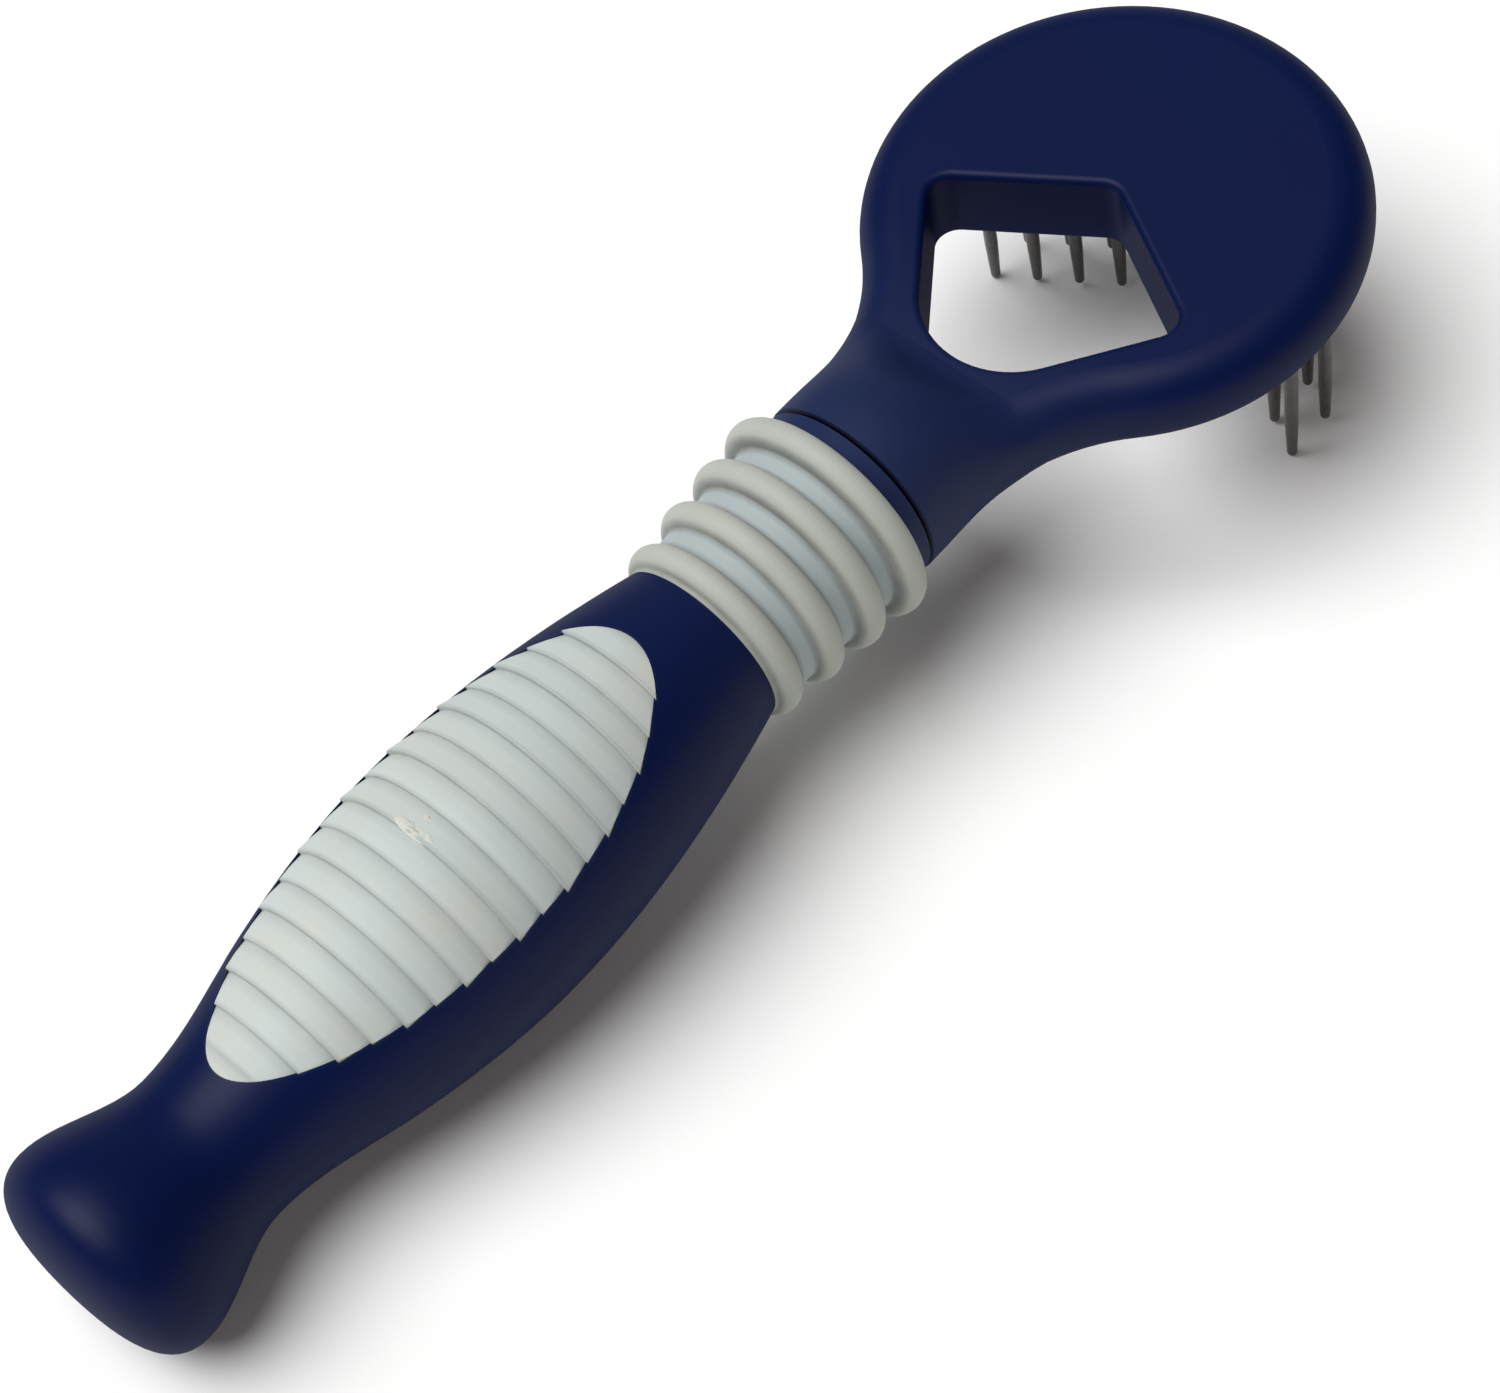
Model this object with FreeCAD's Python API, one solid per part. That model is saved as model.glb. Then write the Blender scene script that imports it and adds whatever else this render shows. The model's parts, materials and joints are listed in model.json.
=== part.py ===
"""Dematting comb: a round head with a shield-shaped window and two chevron rows of steel
pins, plugged into a turned grip handle that carries a ringed sleeve and a shingled palm pad.

Two working frames are used, and one placement at the end takes both to the row frame.
  head frame:   origin at the middle of the head's flat top, +X away from the handle, +Z up
  handle frame: origin at the joint with the head, +X along the handle axis into the head
The row frame stands the comb on a floor at z = 0, on its butt and its rearmost pins.
"""
import FreeCAD, Part
import math
import os

V = FreeCAD.Vector

# ---------------------------------------------------------------- sizes, in millimetres
# head disc
head_radius = 30.0
head_thickness = 11.0
rim_radius = 5.2

# window through the head: a shield, apex away from the handle, straight sides, round near end
window_apex_x = 0.6
window_corner_x = -10.7
window_side_wall = 11.0
window_near_apex_x = -36.3
window_corner_radius = 2.8
window_near_radius = 11.3
window_edge_radius = 0.9
window_ledge_margin = 0.3

# neck of the head, down to its joint with the handle
neck_radius = 12.0
neck_flare_radius = 26.4
joint_from_centre = 47.65
joint_drop = 4.7
handle_rise_deg = 1.75
neck_blend_power = 1.9
neck_round_power = 3.4
neck_round_flat = 0.3
neck_seam_margin = 0.1
neck_between_sections = 5
parting_chamfer = 0.25
parting_gap = 0.35
parting_depth = 0.9

# spigot of the head in the socket of the handle
spigot_radius = 6.0
spigot_length = 24.0
spigot_flat = 4.4
spigot_chamfer = 0.8
socket_clearance = 0.12
socket_end_gap = 1.0

# pins: two nested chevron rows
pins_each_side = 5
pins_from_side = 6.5
outer_row_from_rim = 7.4
row_end_from_rim = 4.87
row_spacing_x = 6.7
pin_root_radius = 0.74
pin_tip_radius = 0.57
pin_reach = 26.6
pin_head_radius = 1.1
pin_head_thickness = 0.7
pin_bore_clearance = 0.05
pin_head_clearance = 0.1

# pin plate let into the underside of the head
plate_from_rim = 3.0
plate_seat_depth = 2.6
plate_proud = 0.8
plate_edge_margin = 3.2
plate_corner_radius = 1.6
plate_edge_radius = 0.35
plate_clearance = 0.12
peg_radius = 1.4
peg_length = 2.6
peg_chamfer = 0.3
peg_clearance = 0.08
peg_arm_step = 3.5

# ringed sleeve
collar_width = 2.70
ring_count = 4
ring_pitch = 6.17
ring_tube_radius = 1.75
ring_crest_at_head = 14.4
ring_crest_at_grip = 12.3
sleeve_lip = 0.5
sleeve_wall = 1.1

# grip profile: lengths between its stations, and the radius at each
shoulder_radius = 10.8
shoulder_slope = -0.25
shoulder_to_belly = 36.15
belly_radius = 15.9
belly_to_flank = 22.0
flank_radius = 13.3
flank_slope = 0.215
flank_to_waist = 17.8
waist_radius = 9.8
waist_to_butt = 13.6
butt_radius = 13.4
butt_dome_length = 6.5
butt_dome_fullness = 1.1

# palm pad: a leaf of overlapping shingles on top of the grip
pad_head_length = 27.7
pad_butt_length = 35.0
pad_half_width = 13.2
pad_head_fullness = 0.5
pad_butt_fullness = 0.6
pad_depth = 1.2
shingle_steps = 16
shingle_first_step = 5.3
shingle_pitch = 3.576
shingle_rise_major = 0.60
shingle_rise_minor = 0.36
shingle_tooth_major = 0.45
shingle_tooth_minor = 0.25
shingle_sink = 0.32

# allowances of the construction itself
tool_reach = 5.0
overlap = 1.0
level_tolerance = 1e-6
pitch_search_deg = (-20, 40)
pitch_search_rounds = 60

# ---------------------------------------------------------------- derived places
underside_z = -head_thickness
plate_low_z = underside_z - plate_proud
plate_high_z = underside_z + plate_seat_depth
pin_tip_z = underside_z - pin_reach
plate_radius = head_radius - plate_from_rim
window_corner_y = head_radius - window_side_wall
window_ledge = window_edge_radius + window_ledge_margin

# the rows' end pins stand level with each other, the outer one at a set distance from the rim
row_end_y = head_radius - pins_from_side
outer_row_apex_x = head_radius - outer_row_from_rim
outer_row_end_x = math.sqrt((head_radius - row_end_from_rim) ** 2 - row_end_y ** 2)
inner_row_apex_x = outer_row_apex_x - row_spacing_x
pin_pitch_y = row_end_y / pins_each_side
pin_step_x = (outer_row_apex_x - outer_row_end_x) / pins_each_side
row_slope = math.atan2(pin_step_x, pin_pitch_y)

sleeve_length = (ring_count - 1) * ring_pitch + 2 * ring_tube_radius + sleeve_lip
sleeve_head_x = -collar_width
sleeve_butt_x = sleeve_head_x - sleeve_length
belly_x = sleeve_butt_x - shoulder_to_belly
flank_x = belly_x - belly_to_flank
waist_x = flank_x - flank_to_waist
butt_x = waist_x - waist_to_butt
butt_end_x = butt_x - butt_dome_length

# grip stations from the butt to the shoulder: (x, radius, slope)
grip_stations = [
    (butt_x, butt_radius, 0.0),
    (waist_x, waist_radius, 0.0),
    (flank_x, flank_radius, flank_slope),
    (belly_x, belly_radius, 0.0),
    (sleeve_butt_x, shoulder_radius, shoulder_slope),
]

handle_to_head = FreeCAD.Placement(
    V(-joint_from_centre, 0, -joint_drop),
    FreeCAD.Rotation(V(0, 1, 0), handle_rise_deg),
)


# ---------------------------------------------------------------- helpers
def rounded_polygon(corners):
    """Closed wire at z = 0 through (x, y, corner radius) points, each corner an arc."""
    count = len(corners)
    arcs = []
    for i, (x, y, radius) in enumerate(corners):
        here = V(x, y, 0)
        before = V(*corners[i - 1][:2], 0) - here
        after = V(*corners[(i + 1) % count][:2], 0) - here
        before.normalize()
        after.normalize()
        half_angle = before.getAngle(after) / 2
        bisector = (before + after).normalize()
        reach = radius / math.tan(half_angle)
        middle = here + bisector * (radius / math.sin(half_angle) - radius)
        arcs.append((here + before * reach, middle, here + after * reach))
    edges = []
    for i, (start, middle, end) in enumerate(arcs):
        edges.append(Part.Arc(start, middle, end).toShape())
        edges.append(Part.LineSegment(end, arcs[(i + 1) % count][0]).toShape())
    return Part.Wire(edges)


def prism(wire, low, high):
    """The wire, drawn at z = 0, made a solid from z = low to z = high."""
    face = Part.Face(wire)
    face.translate(V(0, 0, low))
    return face.extrude(V(0, 0, high - low))


def turned(edges):
    """Solid of revolution about the X axis, from profile edges in the XZ plane."""
    return Part.Face(Part.Wire(edges)).revolve(V(0, 0, 0), V(1, 0, 0), 360)


def chain(points):
    """Straight edges through (x, radius) points."""
    spots = [V(x, 0, r) for x, r in points]
    return [Part.LineSegment(a, b).toShape() for a, b in zip(spots, spots[1:])]


def rod(radius, x_from, x_to):
    """Cylinder on the X axis."""
    return Part.makeCylinder(radius, x_to - x_from, V(x_from, 0, 0), V(1, 0, 0))


# ---------------------------------------------------------------- grip profile
def grip_curve(inset):
    """Profile of the grip from butt to shoulder, its radius smaller by inset."""
    edges = []
    for (x0, r0, slope0), (x1, r1, slope1) in zip(grip_stations, grip_stations[1:]):
        third = (x1 - x0) / 3
        curve = Part.BezierCurve()
        curve.setPoles([
            V(x0, 0, r0 - inset),
            V(x0 + third, 0, r0 - inset + slope0 * third),
            V(x1 - third, 0, r1 - inset - slope1 * third),
            V(x1, 0, r1 - inset),
        ])
        edges.append(curve.toShape())
    return edges


def grip_radius(x):
    """Radius of the grip at x, on the same cubics that grip_curve draws."""
    spans = list(zip(grip_stations, grip_stations[1:]))
    (x0, r0, slope0), (x1, r1, slope1) = next((s for s in spans if x <= s[1][0]), spans[-1])
    span = x1 - x0
    t = (x - x0) / span
    poles = [r0, r0 + slope0 * span / 3, r1 - slope1 * span / 3, r1]
    weights = [(1 - t) ** 3, 3 * t * (1 - t) ** 2, 3 * t * t * (1 - t), t ** 3]
    return sum(pole * weight for pole, weight in zip(poles, weights))


# ---------------------------------------------------------------- head
def flare_centre():
    """Centre of the arc that flares the neck into the disc, on the +Y side."""
    out = neck_radius + neck_flare_radius
    along = math.sqrt((head_radius + neck_flare_radius) ** 2 - out ** 2)
    return V(-along, out, 0)


def flare_half_width(x):
    """Half width of the flared outline at x, between the neck and the disc."""
    centre = flare_centre()
    if x <= centre.x:
        return neck_radius
    return centre.y - math.sqrt(neck_flare_radius ** 2 - (x - centre.x) ** 2)


def blade():
    """Disc and flared neck as one flat plate with a rounded rim."""
    centre = flare_centre()
    touch = centre * (head_radius / (head_radius + neck_flare_radius))
    start = V(centre.x, neck_radius, 0)
    to_middle = ((touch - centre) + (start - centre)).normalize()
    middle = centre + to_middle * neck_flare_radius

    def mirrored(point):
        return V(point.x, -point.y, 0)

    wire = Part.Wire([
        Part.Arc(start, middle, touch).toShape(),
        Part.Arc(touch, V(head_radius, 0, 0), mirrored(touch)).toShape(),
        Part.Arc(mirrored(touch), mirrored(middle), mirrored(start)).toShape(),
        Part.LineSegment(mirrored(start), start).toShape(),
    ])
    plate = prism(wire, underside_z, 0)
    rim = [e for e in plate.Edges if rim_edge(e, start.x)]
    return plate.makeFillet(rim_radius, rim)


def rim_edge(edge, back_x):
    """True for a top or bottom edge of the plate, apart from its straight back."""
    box = edge.BoundBox
    level = box.ZLength < level_tolerance
    on_back = box.XMax - back_x < level_tolerance
    return level and not on_back


def smooth(share):
    """Ease from 0 to 1 with level ends."""
    return share * share * (3 - 2 * share)


def neck_section(x, share):
    """Section of the neck at x: share runs from 0 at the round joint to 1 at the plate."""
    blend = smooth(share ** neck_blend_power)
    squaring = smooth(share ** neck_round_power)
    axis_z = -joint_drop - (x + joint_from_centre) * math.tan(math.radians(handle_rise_deg))
    top = (axis_z + neck_radius) * (1 - blend)
    bottom = (axis_z - neck_radius) * (1 - blend) + underside_z * blend
    half_width = flare_half_width(x)
    half_height = (top - bottom) / 2
    round_y = (half_width - neck_round_flat) * (1 - squaring) + rim_radius * squaring
    round_z = (half_height - neck_round_flat) * (1 - squaring) + rim_radius * squaring
    return rounded_section(x, half_width, bottom, top, round_y, round_z)


def rounded_section(x, half_width, bottom, top, round_y, round_z):
    """Wire of four quarter ellipses and four lines in the plane at x."""
    quarters = []
    for side, level in [(1, 1), (-1, 1), (-1, -1), (1, -1)]:
        outer_y = side * half_width
        outer_z = top if level > 0 else bottom
        at_side = V(x, outer_y, outer_z - level * round_z)
        at_level = V(x, outer_y - side * round_y, outer_z)
        points = [at_side, V(x, outer_y, outer_z), at_level]
        quarters.append(points if side == level else points[::-1])
    edges = []
    for i, points in enumerate(quarters):
        quarter = Part.BezierCurve()
        quarter.setPoles(points)
        quarter.setWeight(2, math.sqrt(0.5))
        edges.append(quarter.toShape())
        edges.append(Part.LineSegment(points[2], quarters[(i + 1) % 4][0]).toShape())
    return Part.Wire(edges)


def neck(plate, seam_x):
    """Loft from the round joint to the plate's own section at the seam."""
    joint = neck_section(-joint_from_centre, 0)
    joint.rotate(V(-joint_from_centre, 0, -joint_drop), V(0, 1, 0), handle_rise_deg)
    length = seam_x + joint_from_centre
    count = neck_between_sections
    shares = [(i + 1) / (count + 1) for i in range(count)]
    between = [neck_section(-joint_from_centre + length * s, s) for s in shares]
    return Part.makeLoft([joint] + between + [plate.slice(V(1, 0, 0), seam_x)[0]], True, False)


def window_wire():
    """Outline of the window at z = 0."""
    return rounded_polygon([
        (window_apex_x, 0, window_corner_radius),
        (window_corner_x, window_corner_y, window_corner_radius),
        (window_near_apex_x, 0, window_near_radius),
        (window_corner_x, -window_corner_y, window_corner_radius),
    ])


def window_near_end():
    """Place of the window's round near end on the centre line."""
    half_angle = math.atan2(window_corner_y, window_corner_x - window_near_apex_x)
    return window_near_apex_x + window_near_radius * (1 / math.sin(half_angle) - 1)


def window_cutter():
    """Prism through the head that widens at both faces, so that the edges come out round."""
    wire = window_wire()
    cutter = prism(wire, underside_z - window_ledge, window_ledge)
    for level, low, high in [(0, 0, window_ledge),
                             (underside_z, underside_z - window_ledge, underside_z)]:
        cutter = cutter.fuse(prism(wire.makeOffset2D(window_ledge), low, high))
        inner = prism(wire, level, level + overlap)
        corner = [e for e in cutter.Edges if lies_on(e, inner, level)]
        cutter = cutter.makeFillet(window_edge_radius, corner)
    return cutter


def lies_on(edge, solid, level):
    """True for an edge in the plane z = level that runs along the solid's wall."""
    box = edge.BoundBox
    if box.ZLength > level_tolerance or abs(box.ZMin - level) > level_tolerance:
        return False
    middle = edge.valueAt((edge.FirstParameter + edge.LastParameter) / 2)
    return solid.distToShape(Part.Vertex(middle))[0] < 10 * level_tolerance


def plate_wire(grow):
    """Outline of the pin plate: the head's circle, cut by a chevron along the pin rows."""
    radius = plate_radius + grow
    tip_x = inner_row_apex_x - (plate_edge_margin + grow) / math.cos(row_slope)
    fall = math.tan(row_slope)
    # where the chevron's side meets the circle
    a = 1 + fall * fall
    b = -2 * tip_x * fall
    c = tip_x * tip_x - radius * radius
    end_y = (-b + math.sqrt(b * b - 4 * a * c)) / (2 * a)
    end_x = tip_x - fall * end_y
    corners = [V(tip_x, 0, 0), V(end_x, end_y, 0), V(end_x, -end_y, 0)]
    wire = Part.Wire([
        Part.LineSegment(corners[0], corners[1]).toShape(),
        Part.Arc(corners[1], V(radius, 0, 0), corners[2]).toShape(),
        Part.LineSegment(corners[2], corners[0]).toShape(),
    ])
    return wire


def plate_blank(grow, low, high, corner_radius):
    """Solid of the pin plate's outline with its three upright corners rounded."""
    blank = prism(plate_wire(grow), low, high)
    upright = [e for e in blank.Edges if e.BoundBox.ZLength > (high - low) / 2]
    return blank.makeFillet(corner_radius, upright)


def pin_places():
    """Name and place of each pin, from the +Y side to the -Y side, inner row first."""
    places = []
    for row, apex_x in [("inner", inner_row_apex_x), ("outer", outer_row_apex_x)]:
        for number in range(2 * pins_each_side + 1):
            step = pins_each_side - number
            x = apex_x - pin_step_x * abs(step)
            places.append((f"{row}_pin_{number + 1:02d}", x, pin_pitch_y * step))
    return places


def peg_places():
    """Three pegs between the two pin rows: one behind the tip and one in each arm."""
    middle_x = inner_row_apex_x + row_spacing_x / 2
    arm_x = middle_x - pin_step_x * peg_arm_step
    return [(middle_x, 0)] + [(arm_x, side * pin_pitch_y * peg_arm_step) for side in (1, -1)]


def upright_rod(x, y, radius, low, high):
    """Cylinder along Z."""
    return Part.makeCylinder(radius, high - low, V(x, y, low))


def head_shell():
    """Disc, window, neck and spigot in one moulding, open below for the pin plate."""
    plate = blade()
    seam_x = window_near_end() - window_ledge - neck_seam_margin
    reach = head_radius + tool_reach
    keep = Part.makeBox(reach - seam_x, 2 * reach, 2 * reach, V(seam_x, -reach, -reach))
    shell = plate.common(keep).fuse(neck(plate, seam_x))
    shell = shell.cut(window_cutter())
    shell = shell.cut(plate_blank(plate_clearance, underside_z - tool_reach, plate_high_z,
                                  plate_corner_radius + plate_clearance))
    peg_low, peg_top = plate_high_z - overlap, plate_high_z + peg_length + peg_clearance
    for x, y in peg_places():
        shell = shell.cut(upright_rod(x, y, peg_radius + peg_clearance, peg_low, peg_top))
    shell = shell.cut(in_head(joint_bevel()))
    return shell.fuse(in_head(spigot(0))).removeSplitter()


def joint_bevel():
    """Ring that bevels the rim of the head's face at the joint."""
    narrow = neck_radius - parting_chamfer
    cone = Part.makeCone(narrow, narrow + overlap, overlap, V(0, 0, 0), V(1, 0, 0))
    return rod(neck_radius + overlap, 0, overlap).cut(cone)


def spigot(grow):
    """Round plug with one flat, along the handle axis; grow makes the socket for it."""
    length = spigot_length + (socket_end_gap if grow else 0)
    plug = rod(spigot_radius + grow, -length, overlap)
    if not grow:
        end = [e for e in plug.Edges if e.BoundBox.XMax < -length + level_tolerance]
        plug = plug.makeChamfer(spigot_chamfer, end)
    reach = spigot_radius + tool_reach
    low = V(-length, -reach, -spigot_flat - grow)
    return plug.common(Part.makeBox(length + overlap, 2 * reach, 2 * reach, low))


def in_head(shape):
    """The shape moved from the handle frame to the head frame."""
    moved = shape.copy()
    moved.Placement = handle_to_head.multiply(moved.Placement)
    return moved


def pin_plate():
    """Plate that holds the pins, with a counterbore for each pin head and three pegs."""
    plate = plate_blank(0, plate_low_z, plate_high_z, plate_corner_radius)
    lower = [e for e in plate.Edges if e.BoundBox.ZMax < plate_low_z + level_tolerance]
    plate = plate.makeFillet(plate_edge_radius, lower)
    for _, x, y in pin_places():
        bore = upright_rod(x, y, pin_root_radius + pin_bore_clearance, plate_low_z, plate_high_z)
        seat = upright_rod(x, y, pin_head_radius + pin_head_clearance,
                           plate_high_z - pin_head_thickness, plate_high_z)
        plate = plate.cut(bore.fuse(seat))
    peg_top = plate_high_z + peg_length
    for x, y in peg_places():
        peg = upright_rod(x, y, peg_radius, plate_high_z - overlap, peg_top)
        top = [e for e in peg.Edges if e.BoundBox.ZMin > peg_top - level_tolerance]
        plate = plate.fuse(peg.makeChamfer(peg_chamfer, top))
    return plate.removeSplitter()


def pin(x, y):
    """Headed pin: flat head in the plate, tapered shank, round tip."""
    tip_centre = pin_tip_z + pin_tip_radius
    head_low = plate_high_z - pin_head_thickness
    profile = [
        Part.Arc(V(0, 0, pin_tip_z), V(pin_tip_radius * math.sqrt(0.5), 0,
                                       tip_centre - pin_tip_radius * math.sqrt(0.5)),
                 V(pin_tip_radius, 0, tip_centre)).toShape()
    ]
    outline = [
        V(pin_tip_radius, 0, tip_centre),
        V(pin_root_radius, 0, plate_low_z),
        V(pin_root_radius, 0, head_low),
        V(pin_head_radius, 0, head_low),
        V(pin_head_radius, 0, plate_high_z),
        V(0, 0, plate_high_z),
        V(0, 0, pin_tip_z),
    ]
    profile += [Part.LineSegment(a, b).toShape() for a, b in zip(outline, outline[1:])]
    solid = Part.Face(Part.Wire(profile)).revolve(V(0, 0, 0), V(0, 0, 1), 360)
    solid.translate(V(x, y, 0))
    return solid


# ---------------------------------------------------------------- handle
def joint_groove():
    """Ring cut from the rim of the handle's face at the joint, which parts the two mouldings."""
    outer = rod(neck_radius + overlap, -parting_gap, overlap)
    return outer.cut(rod(neck_radius - parting_depth, -parting_gap - overlap, 2 * overlap))


def butt_dome():
    """Full curve from the end of the butt to its widest place."""
    side = V(butt_end_x, 0, butt_radius)
    dome = Part.BezierCurve()
    dome.setPoles([V(butt_end_x, 0, 0), side, V(butt_x, 0, butt_radius)])
    dome.setWeight(2, butt_dome_fullness)
    return dome.toShape()


def handle_core():
    """Turned core: butt, waist, belly, seat of the sleeve, collar and socket."""
    nose = chain([
        (sleeve_butt_x, shoulder_radius),
        (sleeve_butt_x, shoulder_radius - sleeve_wall),
        (sleeve_head_x, neck_radius - sleeve_wall),
        (sleeve_head_x, neck_radius),
        (0, neck_radius),
        (0, 0),
        (butt_end_x, 0),
    ])
    core = turned([butt_dome()] + grip_curve(0) + nose)
    core = core.cut(joint_groove())
    core = core.cut(spigot(socket_clearance))
    pocket = prism(pad_wire(), 0, belly_radius + tool_reach).cut(pad_floor())
    return core.cut(pocket)


def pad_floor():
    """Solid up to the floor of the palm pad's recess."""
    ends = chain([
        (sleeve_butt_x, shoulder_radius - pad_depth),
        (sleeve_butt_x, 0),
        (butt_x, 0),
        (butt_x, butt_radius - pad_depth),
    ])
    return turned(grip_curve(pad_depth) + ends)


def leaf_half_width(x):
    """Half width of the palm pad's leaf at x, widest at the belly."""
    on_head_side = x > belly_x
    length = pad_head_length if on_head_side else pad_butt_length
    fullness = pad_head_fullness if on_head_side else pad_butt_fullness
    share = (x - belly_x) / length
    return pad_half_width * (1 - share * share) ** fullness


def steps():
    """Each shingle step: (x, rise, tooth), from the butt to the head."""
    first_x = belly_x - pad_butt_length + shingle_first_step
    rows = []
    for i in range(shingle_steps):
        major = i % 2 == 1
        rise = shingle_rise_major if major else shingle_rise_minor
        tooth = shingle_tooth_major if major else shingle_tooth_minor
        rows.append((first_x + shingle_pitch * i, rise, tooth))
    return rows


def leaf_end(tip_x, start, finish):
    """Parabola of the leaf's end, from start round the tip at tip_x to finish."""
    curve = Part.BezierCurve()
    curve.setPoles([start, V(2 * tip_x - start.x, 0, 0), finish])
    return curve.toShape()


def pad_wire():
    """Plan outline of the palm pad: a leaf whose sides step out at each shingle."""
    side = []
    for x, _, tooth in steps():
        width = leaf_half_width(x)
        side += [V(x, width, 0), V(x, width + tooth, 0)]
    other = [V(p.x, -p.y, 0) for p in side]
    edges = [Part.LineSegment(a, b).toShape() for a, b in zip(side, side[1:])]
    edges.append(leaf_end(belly_x + pad_head_length, side[-1], other[-1]))
    back = other[::-1]
    edges += [Part.LineSegment(a, b).toShape() for a, b in zip(back, back[1:])]
    edges.append(leaf_end(belly_x - pad_butt_length, other[0], side[0]))
    return Part.Wire(edges)


def sunk_radius(x):
    """Radius at the low end of a shingle at x."""
    return grip_radius(x) - shingle_sink


def palm_pad():
    """Leaf-shaped pad: each shingle is proud at its butt end and sinks below the grip's skin."""
    butt_end = belly_x - pad_butt_length
    head_end = belly_x + pad_head_length
    low_x, high_x = butt_end - overlap, head_end + overlap
    line = [(low_x, sunk_radius(low_x) + shingle_rise_minor)]
    line.append((butt_end, sunk_radius(butt_end) + shingle_rise_minor))
    for x, rise, _ in steps():
        line += [(x, sunk_radius(x)), (x, sunk_radius(x) + rise)]
    line.append((high_x, sunk_radius(high_x)))
    line += [(high_x, 0), (low_x, 0), line[0]]
    skin = turned(chain(line))
    return prism(pad_wire(), 0, belly_radius + tool_reach).common(skin).cut(pad_floor())


def ring_sleeve():
    """Soft sleeve: a thin cone flush with the grip, with four rings that grow to the head."""
    body = turned(chain([
        (sleeve_butt_x, 0),
        (sleeve_butt_x, shoulder_radius),
        (sleeve_head_x, neck_radius),
        (sleeve_head_x, 0),
        (sleeve_butt_x, 0),
    ]))
    for i in range(ring_count):
        share = i / max(1, ring_count - 1)
        crest = ring_crest_at_head + (ring_crest_at_grip - ring_crest_at_head) * share
        x = sleeve_head_x - ring_tube_radius - ring_pitch * i
        ring = Part.makeTorus(crest - ring_tube_radius, ring_tube_radius, V(x, 0, 0), V(1, 0, 0))
        body = body.fuse(ring)
    seat = turned(chain([
        (sleeve_butt_x, 0),
        (sleeve_butt_x, shoulder_radius - sleeve_wall),
        (sleeve_head_x, neck_radius - sleeve_wall),
        (sleeve_head_x, 0),
        (sleeve_butt_x, 0),
    ]))
    return body.common(rod(2 * belly_radius, sleeve_butt_x, sleeve_head_x)).cut(seat)


# ---------------------------------------------------------------- standing on the floor
def rest_pitch():
    """Angle in radians by which the head is raised when the butt and pin tips rest level."""
    butt_centre = in_head(Part.Vertex(butt_x, 0, 0)).Point

    def reach_down(pitch):
        down = V(-math.sin(pitch), 0, -math.cos(pitch))
        tip_z = pin_tip_z + pin_tip_radius
        tips = max(V(x, 0, tip_z).dot(down) for _, x, _ in pin_places()) + pin_tip_radius
        along = max(0, math.sin(pitch - math.radians(handle_rise_deg)))
        dome = math.hypot(butt_dome_length * along, butt_radius * math.sqrt(1 - along * along))
        return tips - (butt_centre.dot(down) + dome)

    low, high = [math.radians(angle) for angle in pitch_search_deg]
    for _ in range(pitch_search_rounds):
        middle = (low + high) / 2
        if reach_down(middle) > 0:
            low = middle
        else:
            high = middle
    return middle


def build():
    """All nodes by name, in the row frame."""
    nodes = {"head_shell": head_shell(), "pin_plate": pin_plate()}
    for name, x, y in pin_places():
        nodes[name] = pin(x, y)
    nodes["handle_core"] = in_head(handle_core())
    nodes["ring_sleeve"] = in_head(ring_sleeve())
    nodes["palm_pad"] = in_head(palm_pad())

    pitch_deg = math.degrees(rest_pitch())
    for shape in nodes.values():
        shape.rotate(V(0, 0, 0), V(0, 1, 0), -pitch_deg)
    box = Part.makeCompound(list(nodes.values())).optimalBoundingBox(False)
    for shape in nodes.values():
        shape.translate(V(-(box.XMin + box.XMax) / 2, 0, -box.ZMin))
    return nodes


os.makedirs("parts", exist_ok=True)
for node, shape in build().items():
    shape.exportStep(f"parts/{node}.step")
    print(f"{node}: valid {shape.isValid()}, solids {len(shape.Solids)}, "
          f"volume {shape.Volume:.1f} mm3")
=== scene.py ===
"""Dressing of a dematting comb: navy handle and head, ringed sleeve, shingled palm pad, steel pins.

Every place is measured from the flat top of the head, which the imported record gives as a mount.
Three right-handed frames are used, in metres:
  row frame:    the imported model's own, floor at z = 0
  head frame:   origin at the middle of the head's flat top, X away from the handle, Z up
  handle frame: origin at the joint with the head, X along the handle's axis into the head
Pieces are modelled in the head or handle frame and then set down in the row frame.
"""

import json
import logging
import math
from dataclasses import dataclass
from enum import Enum
from functools import cache

import bpy
from mathutils import Matrix, Vector


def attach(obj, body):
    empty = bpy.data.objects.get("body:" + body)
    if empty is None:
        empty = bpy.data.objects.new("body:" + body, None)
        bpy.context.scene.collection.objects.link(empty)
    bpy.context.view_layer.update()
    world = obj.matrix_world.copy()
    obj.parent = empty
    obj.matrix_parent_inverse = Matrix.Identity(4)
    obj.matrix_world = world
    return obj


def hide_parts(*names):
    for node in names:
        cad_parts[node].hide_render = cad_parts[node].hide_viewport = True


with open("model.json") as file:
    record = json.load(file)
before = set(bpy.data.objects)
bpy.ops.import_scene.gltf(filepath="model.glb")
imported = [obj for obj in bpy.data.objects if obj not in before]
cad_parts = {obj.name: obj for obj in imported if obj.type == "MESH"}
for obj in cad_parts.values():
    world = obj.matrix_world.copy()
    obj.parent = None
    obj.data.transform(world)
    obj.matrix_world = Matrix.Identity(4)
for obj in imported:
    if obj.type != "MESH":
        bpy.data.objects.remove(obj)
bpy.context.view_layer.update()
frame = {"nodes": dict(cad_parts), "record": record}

logging.basicConfig(level=logging.INFO, format="%(name)s: %(message)s", force=True)
log = logging.getLogger("comb")

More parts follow.
